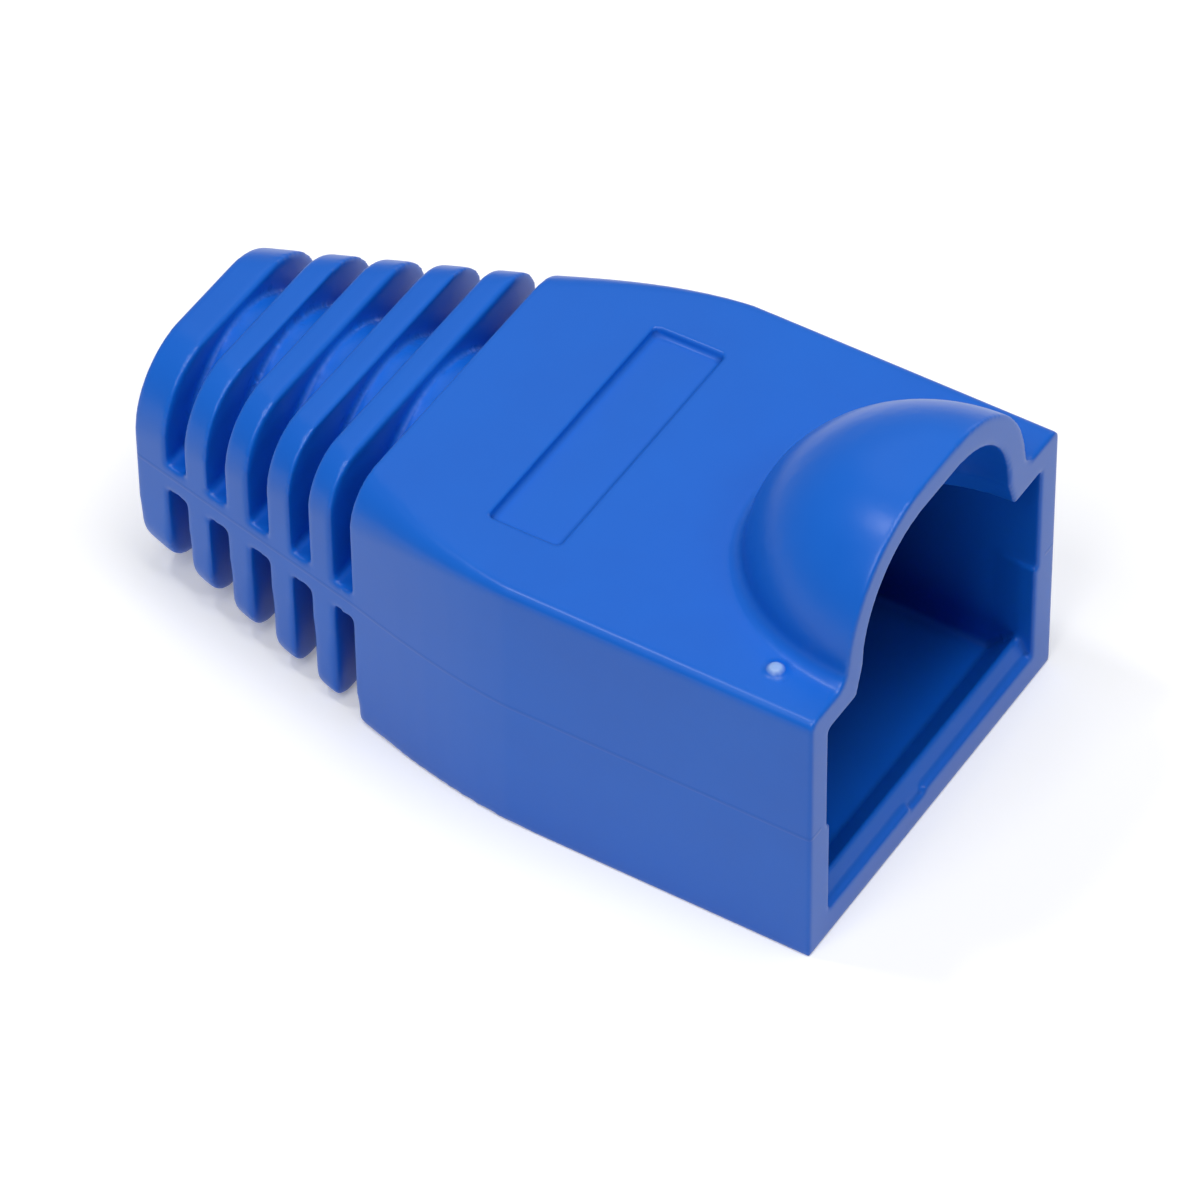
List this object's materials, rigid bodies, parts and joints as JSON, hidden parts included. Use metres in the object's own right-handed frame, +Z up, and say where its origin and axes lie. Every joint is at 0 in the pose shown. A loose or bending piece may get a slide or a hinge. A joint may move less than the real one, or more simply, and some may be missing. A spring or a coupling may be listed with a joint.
{
  "type": "rj45 strain relief boot",
  "caption": "Soft moulded boot for a modular network plug: square sleeve with a domed latch hood, label recess and a tapering tail of ribs round the cable bore.",
  "frame": {"origin": "under the middle of the part's box, on the plane that it rests on", "axes": "+X along the part towards the plug's mouth, +Y across, +Z up towards the hood"},
  "size_m": [0.0252, 0.014, 0.014],
  "materials": {
    "soft_pvc": "satin, smooth moulded soft PVC in bright blue"
  },
  "bodies": {
    "root": {"strain_relief_boot": "soft_pvc"}
  },
  "joints": []
}
